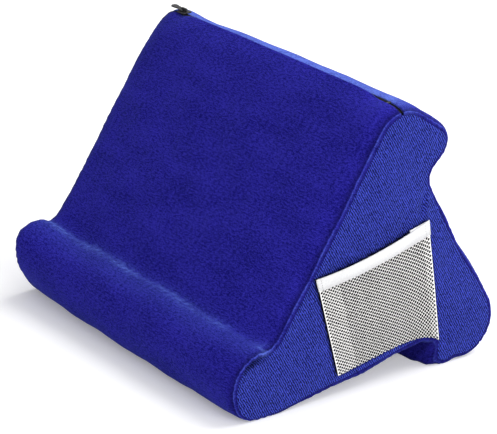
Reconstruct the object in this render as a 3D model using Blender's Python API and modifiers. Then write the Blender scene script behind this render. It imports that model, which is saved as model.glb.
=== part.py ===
"""Tablet cushion stand: a foam block of three rounded lobes in a zipped plush cover.

X runs along the stand's width, with the net pocket on the +X side. Y runs from the lip at the
front to the back, and Z up from the floor. The section in the YZ plane is a belt drawn tight
round pegs: each lobe is a peg inside the belt, and each valley is a peg that presses it in.
"""
import math

import bmesh
import bpy
import numpy as np

# Overall size of the stuffed cover
WIDTH = 0.290
DEPTH = 0.232
HEIGHT = 0.2035

# Section pegs: radii of the three lobes and of the valleys between them
LIP_RADIUS = 0.0254
VALLEY_RADIUS = 0.014
CREST_RADIUS = 0.028
TIP_RADIUS = 0.013
NOTCH_RADIUS = 0.010
HEEL_RADIUS = 0.028
FOOT_RADIUS = 0.012
ARCH_RADIUS = 0.012
SILL_RADIUS = 0.040

# Section pegs: where their centres stand
VALLEY_BACK = 0.0016        # behind the middle of the lip
CREST_FROM_FRONT = 0.146
TIP_BEHIND_CREST = 0.028
TIP_BELOW_CREST = 0.0050
NOTCH_BEHIND_TIP = 0.0070
NOTCH_BELOW_TIP = 0.025
HEEL_FLAT = 0.010           # the heel's flat on the floor, front to back
SILL_FLAT = 0.0124          # the lip's flat on the floor, front to back
ARCH_BEFORE_FOOT = 0.0263
ARCH_CENTRE_HEIGHT = 0.009

# Cover
FABRIC = 0.0020             # thickness of the padded plush
EDGE_ROLL = 0.016           # how far from each end the wrap begins to round over
EDGE_DROP = 0.0050          # how far it has rounded over where it meets the side panel
GAP = 0.0003                # between pieces that lie against each other
FRONT_SEAM_ANGLE = -93.0    # outward direction of the cover at the seam behind the lip
HEEL_SEAM_ANGLE = -50.0     # outward direction of the cover at the seam under the heel

# Zip along the crest
ZIP_TILT = 3.0              # degrees that the zip leans towards the front
ZIP_SLIT = 0.0054           # between the folded edges of the cover
TAPE_WIDTH = 0.012
TAPE_THICKNESS = 0.0006
TOOTH_LINE = 0.0007         # between the tips of the two rows of teeth
TOOTH_ROW = 0.0020          # from the tips to the back of a row
TOOTH_DEPTH = 0.0010        # length of one tooth
TOOTH_PITCH = 0.0030
TOOTH_HEIGHT = 0.0016
ZIP_END = 0.017             # from the stand's end to the first tooth
STOP_LENGTH = 0.0022
STOP_HEIGHT = 0.0014

# Slider and pull tab
SLIDER_LENGTH = 0.0095
SLIDER_WIDTH = 0.0072
SLIDER_PLATE = 0.0010
SLIDER_BLADE = 0.0004
SLIDER_BLADE_LENGTH = 0.0026
SLIDER_GROOVE = 0.0092      # relief in the foam under the slider
BRIDGE_WIDTH = 0.0014
BRIDGE_THICKNESS = 0.0007
BRIDGE_INSIDE = 0.0038      # free length under the bridge
BRIDGE_HEIGHT = 0.0018      # free height under the bridge
PULL_LENGTH = 0.0165
PULL_WIDTH = 0.0050
PULL_THICKNESS = 0.0009
PULL_EYE_WIDTH = 0.0026
PULL_EYE_LENGTH = 0.0030
PULL_BAR = 0.0010           # bar of the pull that turns under the bridge

# Net pocket on the right side panel: its four corners, from the front and from the floor
POCKET_TOP_FRONT = (0.072, 0.0925)
POCKET_TOP_BACK = (0.169, 0.1140)
POCKET_LOW_FRONT = (0.0915, 0.0155)
POCKET_LOW_BACK = (0.1805, 0.0195)
POCKET_SAG = 0.0045         # how far the middle of the mouth hangs below its corners
POCKET_RISE = 0.0060        # how far the middle of the lower hem rises over the arch
POCKET_BOW = 0.0048         # how far the middle of the mouth stands off its two corners
NET_THICKNESS = 0.0008
NET_COLUMNS = 12
NET_ROWS = 10
NET_HEM = 0.075             # share of the pocket's width that is doubled at each side
NET_LOW_HEM = 0.035         # share of its height that is doubled at the bottom
NET_OPEN = 0.66             # share of each mesh that is open
BINDING_WIDTH = 0.0090
BINDING_THICKNESS = 0.0007

ARC_STEP = math.radians(13.0)
ROLL_STEPS = 4
MOUTH_STEPS = 12

BLUE_PLUSH = (0.020, 0.016, 0.270)
BLUE_KNIT = (0.036, 0.046, 0.440)
FOAM_YELLOW = (0.78, 0.70, 0.45)
ZIP_BLACK = (0.010, 0.010, 0.012)
NET_WHITE = (0.80, 0.79, 0.76)
TAPE_WHITE = (0.86, 0.86, 0.85)

CREST_CENTRE = (CREST_FROM_FRONT, HEIGHT - CREST_RADIUS)
TIP_CENTRE = (CREST_CENTRE[0] + TIP_BEHIND_CREST, CREST_CENTRE[1] - TIP_BELOW_CREST)
HEEL_CENTRE = (DEPTH - HEEL_RADIUS, HEEL_RADIUS)
FOOT_CENTRE = (HEEL_CENTRE[0] - HEEL_FLAT, FOOT_RADIUS)

# Pegs in the order of the belt, up the front and down the back: name, centre, radius.
# A negative radius is a peg that presses in from outside.
PEGS = (
    ("lip", (LIP_RADIUS, LIP_RADIUS), LIP_RADIUS),
    ("valley", (LIP_RADIUS + VALLEY_BACK, 2 * LIP_RADIUS + VALLEY_RADIUS), -VALLEY_RADIUS),
    ("crest", CREST_CENTRE, CREST_RADIUS),
    ("tip", TIP_CENTRE, TIP_RADIUS),
    ("notch", (TIP_CENTRE[0] + NOTCH_BEHIND_TIP, TIP_CENTRE[1] - NOTCH_BELOW_TIP), -NOTCH_RADIUS),
    ("heel", HEEL_CENTRE, HEEL_RADIUS),
    ("foot", FOOT_CENTRE, FOOT_RADIUS),
    ("arch", (FOOT_CENTRE[0] - ARCH_BEFORE_FOOT, ARCH_CENTRE_HEIGHT), -ARCH_RADIUS),
    ("sill", (LIP_RADIUS + SILL_FLAT, SILL_RADIUS), SILL_RADIUS),
)


def belt():
    """Tighten the belt round the pegs.

    Between two pegs the belt is the line that touches both, whose outward normal n meets
    n . (centre 2 - centre 1) = radius 1 - radius 2. Returns the points, their outward
    normals, the length run at each point, and for each peg where its arc starts and turns.
    """
    normals = []
    for (_, first, first_radius), (_, second, second_radius) in zip(PEGS, PEGS[1:] + PEGS[:1]):
        across, up = second[0] - first[0], second[1] - first[1]
        reach = math.hypot(across, up)
        normals.append(math.atan2(up, across) + math.acos((first_radius - second_radius) / reach))
    points, directions, arcs = [], [], {}
    run = 0.0
    for index, (name, centre, radius) in enumerate(PEGS):
        start, end = normals[index - 1], normals[index]
        sense = -1.0 if radius > 0 else 1.0
        turn = (sense * (end - start)) % (2 * math.pi)
        count = max(2, math.ceil(turn / ARC_STEP)) + 1
        angles = start + sense * np.linspace(0.0, turn, count)
        facing = np.column_stack([np.cos(angles), np.sin(angles)])
        arc = np.array(centre) + radius * facing
        if points:
            run += float(np.linalg.norm(arc[0] - points[-1][-1]))
        arcs[name] = (run, start, sense, abs(radius))
        points.append(arc)
        directions.append(facing)
        run += float(np.linalg.norm(np.diff(arc, axis=0), axis=1).sum())
    outline = np.vstack(points)
    facing = np.vstack(directions)
    steps = np.linalg.norm(np.diff(outline, axis=0), axis=1)
    lengths = np.concatenate([[0.0], np.cumsum(steps)])
    total = lengths[-1] + float(np.linalg.norm(outline[0] - outline[-1]))
    return outline, facing, lengths, total, arcs


OUTLINE, FACING, LENGTHS, LOOP, ARCS = belt()


def on_arc(name, angle):
    """The belt length at which the belt on a peg faces a given angle in degrees."""
    start_length, start, sense, radius = ARCS[name]
    turn = (sense * (math.radians(angle) - start)) % (2 * math.pi)
    return start_length + radius * turn


def stretch(start, end, inset):
    """Points of the belt from one length to another, moved inward by an inset."""
    lengths = np.concatenate([LENGTHS - LOOP, LENGTHS, LENGTHS + LOOP])
    places = np.vstack([OUTLINE] * 3)
    facing = np.vstack([FACING] * 3)
    inside = lengths[(lengths > start + GAP) & (lengths < end - GAP)]
    wanted = np.concatenate([[start], inside, [end]])
    place = np.column_stack([np.interp(wanted, lengths, places[:, axis]) for axis in (0, 1)])
    normal = np.column_stack([np.interp(wanted, lengths, facing[:, axis]) for axis in (0, 1)])
    normal /= np.linalg.norm(normal, axis=1)[:, None]
    return place - normal * inset


ZIP_AT = on_arc("crest", 90.0 + ZIP_TILT)
FRONT_SEAM = on_arc("sill", FRONT_SEAM_ANGLE)
HEEL_SEAM = on_arc("heel", HEEL_SEAM_ANGLE)
LINING = FABRIC + GAP
WRAP_HALF = WIDTH / 2 - LINING
TAPE_BED = LINING + TAPE_THICKNESS + GAP
SLIDER_BED = TAPE_BED + SLIDER_PLATE + 2 * GAP


def edge_drop(x):
    """How far the wrap has rounded over at a place along the width: a quarter ellipse."""
    into = np.clip((np.abs(x) - (WRAP_HALF - EDGE_ROLL)) / EDGE_ROLL, 0.0, 1.0)
    return EDGE_DROP * (1.0 - np.sqrt(1.0 - into ** 2))


def stations(half_width):
    """Places along the width, close together where the wrap rounds over at both ends."""
    turns = np.linspace(0.0, math.pi / 2, ROLL_STEPS + 1)
    right = half_width - EDGE_ROLL * (1.0 - np.sin(turns))
    return np.concatenate([-right[::-1], right])


def clear_scene():
    """Remove every object and make the two collections."""
    for old in list(bpy.data.objects):
        bpy.data.objects.remove(old, do_unlink=True)
    made = []
    for name in ("tablet_cushion_stand", "cutters"):
        collection = bpy.data.collections.new(name)
        bpy.context.scene.collection.children.link(collection)
        made.append(collection)
    return made


def material(name, colour, roughness, metallic=0.0):
    """A plain finish for one kind of material."""
    made = bpy.data.materials.new(name)
    made.use_nodes = True
    shader = made.node_tree.nodes["Principled BSDF"]
    shader.inputs["Base Color"].default_value = (*colour, 1.0)
    shader.inputs["Roughness"].default_value = roughness
    shader.inputs["Metallic"].default_value = metallic
    made.diffuse_color = (*colour, 1.0)
    return made


def add_object(name, data, finish, parent, collection):
    """Place one piece under its parent with its finish."""
    made = bpy.data.objects.new(name, data)
    collection.objects.link(made)
    made.parent = parent
    if finish is not None:
        data.materials.append(finish)
    return made


def surface_mesh(name, rows, holes=()):
    """A mesh over a grid of points: rows[i][j] is a point, holes are the cells left open."""
    count, across = rows.shape[:2]
    index = np.arange(count * across).reshape(count, across)
    corners = np.stack([index[:-1, :-1], index[1:, :-1], index[1:, 1:], index[:-1, 1:]], axis=-1)
    keep = np.ones((count - 1, across - 1), dtype=bool)
    for cell in holes:
        keep[cell] = False
    mesh = bpy.data.meshes.new(name)
    mesh.from_pydata(rows.reshape(-1, 3).tolist(), [], corners[keep].reshape(-1, 4).tolist())
    return mesh


def thicken(piece, thickness, offset=-1.0):
    """Give an open surface its thickness, inward by default."""
    solid = piece.modifiers.new("thickness", "SOLIDIFY")
    solid.thickness = thickness
    solid.offset = offset
    solid.use_even_offset = True


def wrap_rows(start, end, depth):
    """Grid of a strip of the wrap between two belt lengths, at a depth below its surface."""
    rows = []
    for x in stations(WRAP_HALF):
        section = stretch(start, end, depth + edge_drop(x))
        rows.append(np.column_stack([np.full(len(section), x), section]))
    return np.array(rows)


def wrap_panel(name, start, end, finish, parent, collection):
    """One panel of the cover that runs round the section between two seams."""
    mesh = surface_mesh(name, wrap_rows(start + GAP / 2, end - GAP / 2, 0.0))
    piece = add_object(name, mesh, finish, parent, collection)
    thicken(piece, FABRIC)
    return piece


def zip_tape(name, start, end, finish, parent, collection):
    """One tape of the zip, under the folded edge of the cover."""
    mesh = surface_mesh(name, wrap_rows(start, end, LINING)[ROLL_STEPS - 1:1 - ROLL_STEPS])
    piece = add_object(name, mesh, finish, parent, collection)
    thicken(piece, TAPE_THICKNESS)
    return piece


def foam_core(finish, parent, collection):
    """The cut foam block: the section inside the cover, with a bed under the zip."""
    tape_bed = TAPE_WIDTH + TOOTH_LINE / 2 + 2 * GAP
    slider_bed = SLIDER_GROOVE / 2
    beds = (
        (ZIP_AT + tape_bed, ZIP_AT - tape_bed + LOOP, LINING),
        (ZIP_AT - tape_bed, ZIP_AT - slider_bed, TAPE_BED),
        (ZIP_AT - slider_bed, ZIP_AT + slider_bed, SLIDER_BED),
        (ZIP_AT + slider_bed, ZIP_AT + tape_bed, TAPE_BED),
    )
    rows = []
    places = stations(WRAP_HALF - LINING)
    for x in np.concatenate([[-WRAP_HALF], places, [WRAP_HALF]]):
        drop = edge_drop(min(abs(x) + LINING, WRAP_HALF))
        loop = np.vstack([stretch(start, end, depth + drop) for start, end, depth in beds])
        rows.append(np.column_stack([np.full(len(loop), x), loop]))
    rows = np.array(rows)
    count, across = rows.shape[:2]
    mesh = surface_mesh("foam_core", np.concatenate([rows, rows[:, :1]], axis=1))
    shape = bmesh.new()
    shape.from_mesh(mesh)
    bmesh.ops.remove_doubles(shape, verts=shape.verts, dist=1e-6)
    rim = [edge for edge in shape.edges if edge.is_boundary]
    bmesh.ops.edgeloop_fill(shape, edges=rim)
    bmesh.ops.recalc_face_normals(shape, faces=shape.faces)
    shape.to_mesh(mesh)
    shape.free()
    return add_object("foam_core", mesh, finish, parent, collection)


def flat_outline(name, points, thickness, holes=()):
    """A flat sheet from an outline in the local XY plane, centred on its thickness."""
    curve = bpy.data.curves.new(name, "CURVE")
    curve.dimensions = "2D"
    curve.fill_mode = "BOTH"
    curve.extrude = thickness / 2
    for loop in (points, *holes):
        spline = curve.splines.new("POLY")
        spline.points.add(len(loop) - 1)
        for point, (across, up) in zip(spline.points, loop):
            point.co = (across, up, 0.0, 1.0)
        spline.use_cyclic_u = True
    return curve


def side_panel(name, side, finish, parent, collection):
    """A flat knitted end panel, sewn over the rounded edge of the wrap."""
    outline = stretch(0.0, LOOP, EDGE_DROP)[:-1]
    piece = add_object(name, flat_outline(name, outline, FABRIC), finish, parent, collection)
    piece.rotation_euler = (math.pi / 2, 0.0, math.pi / 2)
    piece.location = (side * (WIDTH - FABRIC) / 2, 0.0, 0.0)
    return piece


def zip_frame():
    """The point of the belt under the zip's middle and its outward normal."""
    normal = np.array([-math.sin(math.radians(ZIP_TILT)), math.cos(math.radians(ZIP_TILT))])
    return np.array(CREST_CENTRE) + CREST_RADIUS * normal, normal


def on_zip(piece, x, height):
    """Stand a piece on the zip, at a place along it and a height over the cover."""
    place, normal = zip_frame()
    across, up = place + normal * height
    piece.location = (x, across, up)
    piece.rotation_euler = (math.radians(ZIP_TILT), 0.0, 0.0)


ZIP_START = -WIDTH / 2 + ZIP_END
TOOTH_COUNT = int((WIDTH - 2 * ZIP_END) / TOOTH_PITCH)
ZIP_FINISH = ZIP_START + TOOTH_COUNT * TOOTH_PITCH
SLIDER_AT = ZIP_START + SLIDER_LENGTH / 2
TEETH_MIDDLE = -LINING + GAP + TOOTH_HEIGHT / 2


def tooth_row(name, side, finish, parent, collection):
    """One row of teeth: a comb whose teeth point at the other row."""
    tip = TOOTH_LINE / 2
    back = tip + TOOTH_ROW
    root = tip + TOOTH_DEPTH
    shift = 0.0 if side > 0 else TOOTH_PITCH / 2
    outline = []
    for number in range(TOOTH_COUNT):
        left = number * TOOTH_PITCH + shift / 2
        right = left + TOOTH_PITCH / 2
        outline += [(left, side * root), (left, side * tip), (right, side * tip), (right, side * root)]
    outline += [(TOOTH_COUNT * TOOTH_PITCH, side * root), (TOOTH_COUNT * TOOTH_PITCH, side * back)]
    outline += [(0.0, side * back), (0.0, side * root)]
    if shift == 0.0:
        outline.pop()
    piece = add_object(name, flat_outline(name, outline, TOOTH_HEIGHT), finish, parent, collection)
    on_zip(piece, ZIP_START, TEETH_MIDDLE)
    return piece


def block_mesh(name, size, centre=(0.0, 0.0, 0.0), bevel=0.0):
    """A box of a given size, with its edges rounded if a bevel is given."""
    shape = bmesh.new()
    bmesh.ops.create_cube(shape, size=1.0)
    bmesh.ops.scale(shape, vec=size, verts=shape.verts)
    bmesh.ops.translate(shape, vec=centre, verts=shape.verts)
    if bevel:
        bmesh.ops.bevel(shape, geom=list(shape.edges), offset=bevel, segments=1, affect="EDGES")
    mesh = bpy.data.meshes.new(name)
    shape.to_mesh(mesh)
    shape.free()
    return mesh


def join(piece, mesh, operation, cutters):
    """Unite a piece with a shape, or cut the shape out of it."""
    tool = bpy.data.objects.new(mesh.name, mesh)
    cutters.objects.link(tool)
    tool.parent = piece
    tool.hide_render = True
    tool.display_type = "WIRE"
    union = piece.modifiers.new(mesh.name, "BOOLEAN")
    union.operation = operation
    union.solver = "EXACT"
    union.object = tool


AXIS_OVER_PLATE = BRIDGE_HEIGHT / 2
PLATE_TOP = GAP + SLIDER_PLATE


def zip_slider(finish, parent, collection, cutters):
    """The slider: two plates held together by a blade, and a bridge for the pull."""
    plate = block_mesh("zip_slider", (SLIDER_LENGTH, SLIDER_WIDTH, SLIDER_PLATE), bevel=SLIDER_PLATE / 4)
    piece = add_object("zip_slider", plate, finish, parent, collection)
    on_zip(piece, SLIDER_AT, GAP + SLIDER_PLATE / 2)
    blade_depth = SLIDER_PLATE + GAP + TAPE_BED
    low_plate = -(SLIDER_PLATE + GAP + TAPE_BED)
    nose = SLIDER_LENGTH / 2 - SLIDER_BLADE_LENGTH
    blade = (SLIDER_BLADE_LENGTH, SLIDER_BLADE, blade_depth)
    join(piece, block_mesh("slider_blade", blade, (nose, 0.0, -blade_depth / 2)), "UNION", cutters)
    low = (SLIDER_LENGTH, SLIDER_WIDTH - 4 * GAP, SLIDER_PLATE)
    join(piece, block_mesh("slider_low_plate", low, (0.0, 0.0, low_plate)), "UNION", cutters)
    outer = BRIDGE_INSIDE + 2 * BRIDGE_THICKNESS
    rise = SLIDER_PLATE / 2 + BRIDGE_HEIGHT + BRIDGE_THICKNESS
    bridge = block_mesh("slider_bridge", (outer, BRIDGE_WIDTH, rise), (0.0, 0.0, rise / 2),
                        bevel=BRIDGE_THICKNESS / 3)
    tool = bpy.data.objects.new("slider_bridge", bridge)
    cutters.objects.link(tool)
    tool.parent = piece
    tool.hide_render = True
    tool.display_type = "WIRE"
    middle = (0.0, 0.0, SLIDER_PLATE / 2 + BRIDGE_HEIGHT / 2)
    window = (BRIDGE_INSIDE, 2 * BRIDGE_WIDTH, BRIDGE_HEIGHT)
    join(tool, block_mesh("bridge_window", window, middle), "DIFFERENCE", cutters)
    union = piece.modifiers.new("slider_bridge", "BOOLEAN")
    union.operation = "UNION"
    union.solver = "EXACT"
    union.object = tool
    return piece


def zip_pull(finish, parent, collection):
    """The pull tab: a tapered leaf with an eye, whose bar turns under the bridge."""
    half = PULL_WIDTH / 2
    neck = PULL_EYE_LENGTH + 2 * PULL_BAR
    end = PULL_BAR / 2 - PULL_LENGTH
    waist = half * 0.62
    outline = [(PULL_BAR / 2, -half), (PULL_BAR / 2, half), (-neck, half), (-neck - PULL_BAR, waist)]
    turns = np.linspace(math.pi / 2, 3 * math.pi / 2, 9)
    outline += [(end + half + half * math.cos(turn), half * math.sin(turn)) for turn in turns]
    outline += [(-neck - PULL_BAR, -waist), (-neck, -half)]
    far, near = -PULL_BAR / 2 - PULL_EYE_LENGTH, -PULL_BAR / 2
    wide = PULL_EYE_WIDTH / 2
    eye = [(near, wide), (near, -wide), (far, -wide), (far, wide)]
    leaf = flat_outline("zip_pull", outline, PULL_THICKNESS, holes=(eye,))
    piece = add_object("zip_pull", leaf, finish, parent, collection)
    on_zip(piece, SLIDER_AT, PLATE_TOP + AXIS_OVER_PLATE)
    return piece


def zip_stops(finish, parent, collection):
    """Two clamped stops where the closed zip ends, and the joined stop at the far end."""
    middle = STOP_HEIGHT / 2 + GAP - LINING
    row = TOOTH_ROW - 2 * GAP
    for name, side in (("zip_stop_front", -1.0), ("zip_stop_rear", 1.0)):
        centre = (0.0, side * (TOOTH_LINE + TOOTH_ROW) / 2, 0.0)
        mesh = block_mesh(name, (STOP_LENGTH, row, STOP_HEIGHT), centre, bevel=GAP)
        piece = add_object(name, mesh, finish, parent, collection)
        on_zip(piece, ZIP_START - STOP_LENGTH / 2 - GAP, middle)
    size = (STOP_LENGTH, TOOTH_LINE + 2 * TOOTH_ROW - 2 * GAP, STOP_HEIGHT)
    mesh = block_mesh("zip_end_stop", size, bevel=GAP)
    piece = add_object("zip_end_stop", mesh, finish, parent, collection)
    on_zip(piece, ZIP_FINISH + STOP_LENGTH / 2 + GAP, middle)


MOUTH_LIFT = BINDING_THICKNESS + 2 * GAP


def pocket_place(across, up):
    """A point of the pocket: shares across and up its four-cornered outline.

    The mouth sags and the lower hem rises along a parabola, and the net bows off the panel
    most at the middle of the mouth and not at all along its three sewn sides.
    """
    low = np.outer(1 - across, POCKET_LOW_FRONT) + np.outer(across, POCKET_LOW_BACK)
    top = np.outer(1 - across, POCKET_TOP_FRONT) + np.outer(across, POCKET_TOP_BACK)
    middle = 4 * across * (1 - across)
    low[:, 1] += POCKET_RISE * middle
    top[:, 1] -= POCKET_SAG * middle
    place = low * (1 - up) + top * up
    bow = POCKET_BOW * (1 - np.abs(2 * across - 1) ** 3)
    return np.column_stack([WIDTH / 2 + GAP + (MOUTH_LIFT + bow) * (1 - (1 - up) ** 2.5), place])


def net_steps(count, hem, far_hem):
    """Edges of the bars and openings of the net along one direction, as shares."""
    pitch = (1.0 - hem - far_hem) / count
    bar = pitch * (1 - NET_OPEN) / 2
    steps = [0.0]
    for number in range(count):
        start = hem + number * pitch
        steps += [start + bar, start + pitch - bar]
    return np.array(steps + [1.0])


def pocket_net(finish, parent, collection):
    """The net: a sheet with rows of openings, sewn down on three sides."""
    across = net_steps(NET_COLUMNS, NET_HEM, NET_HEM)
    up = net_steps(NET_ROWS, NET_LOW_HEM, NET_LOW_HEM + BINDING_WIDTH / POCKET_TOP_FRONT[1])
    rows = np.array([pocket_place(across, share) for share in up])
    holes = [(2 * row + 1, 2 * column + 1) for row in range(NET_ROWS) for column in range(NET_COLUMNS)]
    mesh = surface_mesh("pocket_net", rows[:, ::-1], holes)
    piece = add_object("pocket_net", mesh, finish, parent, collection)
    thicken(piece, NET_THICKNESS, offset=1.0)
    return piece


def pocket_binding(finish, parent, collection):
    """The tape that folds over the mouth of the net and stiffens it."""
    across = np.linspace(0.0, 1.0, MOUTH_STEPS + 1)
    mouth = pocket_place(across, 1.0)
    hem = pocket_place(across, 1.0 - BINDING_WIDTH / POCKET_TOP_FRONT[1])
    inner, outer = -GAP, NET_THICKNESS + GAP
    rows = []
    for line, off, rise in ((hem, inner, 0.0), (mouth, inner, GAP), (mouth, outer, GAP), (hem, outer, 0.0)):
        rows.append(line + np.array([off, 0.0, rise]))
    mesh = surface_mesh("pocket_binding", np.array(rows))
    piece = add_object("pocket_binding", mesh, finish, parent, collection)
    thicken(piece, BINDING_THICKNESS, offset=1.0)
    return piece


def main():
    """Build the stand."""
    parts, cutters = clear_scene()
    plush = material("blue_plush", BLUE_PLUSH, 0.95)
    knit = material("blue_knit", BLUE_KNIT, 0.92)
    foam = material("foam", FOAM_YELLOW, 0.9)
    black_tape = material("zip_tape", ZIP_BLACK, 0.85)
    black_teeth = material("zip_teeth", ZIP_BLACK, 0.45)
    black_metal = material("zip_metal", ZIP_BLACK, 0.35, 0.6)
    net = material("pocket_net", NET_WHITE, 0.8)
    tape = material("pocket_tape", TAPE_WHITE, 0.85)

    stand = bpy.data.objects.new("stand", None)
    parts.objects.link(stand)
    proud = MOUTH_LIFT + POCKET_BOW + NET_THICKNESS + BINDING_THICKNESS + 2 * GAP
    stand.location = (-proud / 2, -DEPTH / 2, 0.0)

    foam_core(foam, stand, parts)
    wrap_panel("front_panel", FRONT_SEAM - LOOP, ZIP_AT - ZIP_SLIT / 2, plush, stand, parts)
    wrap_panel("back_panel", ZIP_AT + ZIP_SLIT / 2, HEEL_SEAM, plush, stand, parts)
    wrap_panel("base_panel", HEEL_SEAM, FRONT_SEAM, plush, stand, parts)
    side_panel("side_panel_left", -1.0, knit, stand, parts)
    side_panel("side_panel_right", 1.0, knit, stand, parts)
    tape_edge = TOOTH_LINE / 2
    zip_tape("zip_tape_front", ZIP_AT - tape_edge - TAPE_WIDTH, ZIP_AT - tape_edge, black_tape, stand, parts)
    zip_tape("zip_tape_rear", ZIP_AT + tape_edge, ZIP_AT + tape_edge + TAPE_WIDTH, black_tape, stand, parts)
    tooth_row("zip_teeth_front", -1.0, black_teeth, stand, parts)
    tooth_row("zip_teeth_rear", 1.0, black_teeth, stand, parts)
    zip_stops(black_metal, stand, parts)
    zip_slider(black_metal, stand, parts, cutters)
    zip_pull(black_metal, stand, parts)
    pocket_net(net, stand, parts)
    pocket_binding(tape, stand, parts)


main()
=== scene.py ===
"""Finish of the tablet cushion stand: plush cover, knitted sides, net pocket and zip.

Lengths are in metres in the row frame: X along the width, Y from the lip to the back, Z up.
"""
import math

import bpy
import numpy as np
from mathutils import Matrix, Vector, geometry


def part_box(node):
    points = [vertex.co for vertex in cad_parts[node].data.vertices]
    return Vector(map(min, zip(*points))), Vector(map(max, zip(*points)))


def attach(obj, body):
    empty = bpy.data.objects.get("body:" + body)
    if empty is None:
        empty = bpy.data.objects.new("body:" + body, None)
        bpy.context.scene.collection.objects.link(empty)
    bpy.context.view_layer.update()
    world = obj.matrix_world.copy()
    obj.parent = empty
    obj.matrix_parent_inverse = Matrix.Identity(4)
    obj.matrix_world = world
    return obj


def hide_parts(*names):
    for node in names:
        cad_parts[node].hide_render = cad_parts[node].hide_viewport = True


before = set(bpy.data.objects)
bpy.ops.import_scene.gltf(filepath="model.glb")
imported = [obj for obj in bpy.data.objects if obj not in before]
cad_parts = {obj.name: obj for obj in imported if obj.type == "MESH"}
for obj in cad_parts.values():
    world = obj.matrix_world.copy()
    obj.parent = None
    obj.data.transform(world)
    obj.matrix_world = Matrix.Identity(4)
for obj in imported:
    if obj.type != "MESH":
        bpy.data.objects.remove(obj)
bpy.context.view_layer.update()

MM = 0.001
BODY = "cushion"

# The camera of the photograph, which is 497 pixels wide
PHOTO_WIDTH = 497
FOCAL_PIXELS = 2800
SENSOR = 36.0
CAMERA_PITCH = math.radians(21.4)
CAMERA_YAW = math.radians(54.8)
CAMERA_FROM_LIP = (1.5655, -0.9874, 0.8336)

# Where the stand lies in the frame
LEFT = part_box("side_panel_left")[0][0]
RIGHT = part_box("side_panel_right")[1][0]
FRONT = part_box("front_panel")[0][1]
MIDDLE = (LEFT + RIGHT) / 2
HALF = (RIGHT - LEFT) / 2
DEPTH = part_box("back_panel")[1][1] - FRONT
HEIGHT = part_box("front_panel")[1][2]

# Section of the stuffed cover: pegs that the belt runs round, as (y from the lip, z, radius).
# A negative radius presses in from outside.
LIP = 25.4 * MM
CREST = 28.0 * MM
HEEL = 28.0 * MM
PEGS = (
    (LIP, LIP, LIP),
    (27.0 * MM, 64.8 * MM, -14.0 * MM),
    (146.0 * MM, HEIGHT - CREST, CREST),
    (174.5 * MM, HEIGHT - CREST - 4.5 * MM, 14.0 * MM),
    (181.5 * MM, 145.5 * MM, -10.0 * MM),
    (DEPTH - HEEL, HEEL, HEEL),
    (194.0 * MM, 12.0 * MM, 12.0 * MM),
    (167.7 * MM, 9.0 * MM, -12.0 * MM),
    (37.8 * MM, 40.0 * MM, 40.0 * MM),
)
BELT_STEP = 0.5 * MM
BELT_SOFTNESS = 2.0 * MM
ZIP_LEAN = math.radians(3.0)
ZIP_SLIT = 2.8 * MM
FRONT_SEAM = (35.6, 0.0)
HEEL_SEAM = (221.8, 6.5)

# The seams round the two ends, at places (y from the lip, z) of the section in millimetres:
# how deep inside the section the seam runs, and over what width the wrap rounds down to it
END_SEAM = (
    ((0, 25), 4.5, 10), ((10, 5), 1.6, 7), ((30, 0), 0.9, 5), ((55, 2), 2.0, 6),
    ((80, 7), 4.0, 6), ((120, 13), 4.6, 6), ((160, 19), 4.4, 6), ((172, 20), 3.6, 7),
    ((180, 12), 6.5, 12), ((187, 3), 8.0, 13), ((201, 0), 2.5, 8), ((222, 8), 3.5, 9),
    ((229, 40), 5.0, 13), ((200, 91), 5.0, 14), ((171, 146), 2.8, 8), ((184, 168), 5.0, 12),
    ((165, 198), 5.0, 15), ((145, 203), 5.5, 17), ((122, 190), 6.8, 17), ((80, 123), 6.6, 17),
    ((42, 62), 4.6, 12), ((33, 51), 4.0, 8), ((20, 50), 4.8, 9),
)

# Where the stuffing stands fuller or slacker than the section, in millimetres:
# place of the section, reach along it, centre across the width, reach across, rise
FULLNESS = (
    ((11, 4), 12, 60, 120, 2.6),         # underside of the lip, pressed flat
    ((4, 12), 15, -145, 26, -4.0),       # left end of the lip, tucked under
    ((22, 50), 16, -134, 26, 6.2),       # left end of the lip, plump above
    ((10, 45), 12, -140, 28, 6.2),       # left end of the lip, plump in front
    ((168, 196), 26, 40, 110, 1.6),      # behind the zip
    ((160, 200), 24, -112, 40, -1.6),    # left part behind the zip, slacker
    ((148, 203), 12, -134, 12, 2.0),     # left end of the zip
    ((183, 180), 14, 132, 26, 1.8),      # right end of the overhang
    ((224, 55), 26, 130, 40, 3.0),       # right end of the heel
    ((110, 11), 40, 140, 60, 2.6),       # underside of the right end
    ((181, 9), 8, 100, 44, 10.0),        # front of the rear foot
    ((187, 3), 7, 118, 44, 9.0),         # its lower edge
    ((182, 9), 6, 146, 26, 2.6),         # right end of that front
    ((183, 7), 2.4, 140, 40, 1.2),       # wrinkles in front of the rear foot
    ((177, 16), 2.4, 140, 40, -1.2),
    ((172, 20), 3, 140, 40, 1.2),
    ((126, 193), 22, -147, 22, -4.0),    # left shoulder
)

# Cover
CLOTH = 1.0 * MM
TUCK = 2.6 * MM             # seam allowance turned inward
CELL = 1.9 * MM             # fine grid
LATTICE_MARGIN = 0.7        # how far a lattice keeps from its outline, as a share of its pitch
END_ROWS = np.array([0.0, 0.25, 0.6, 1.1, 1.8, 2.7, 3.9, 5.4]) * MM     # rows nearest an end
END_MARGIN = 7 * MM         # where the even part of the grid begins, from either end
END_SINK = (TUCK, 0.7 * MM)             # how deep the two outermost rows at an end drop
SEAM_ROWS = np.array([0.0, 0.15, 0.5, 1.0]) * MM    # rows nearest a seam that runs across
SEAM_MARGIN = 2 * MM        # where the even part begins, from such a seam
SEAM_SINK = (TUCK, 0.5 * MM, 0.1 * MM)  # how deep the three outermost rows there drop
SEAM_GAP = 0.1 * MM         # how far each panel stays back from the seam's line
FLOOR_GAP = 0.2 * MM
SIM_CELL = 5.5 * MM         # grid of the simulation
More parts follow.
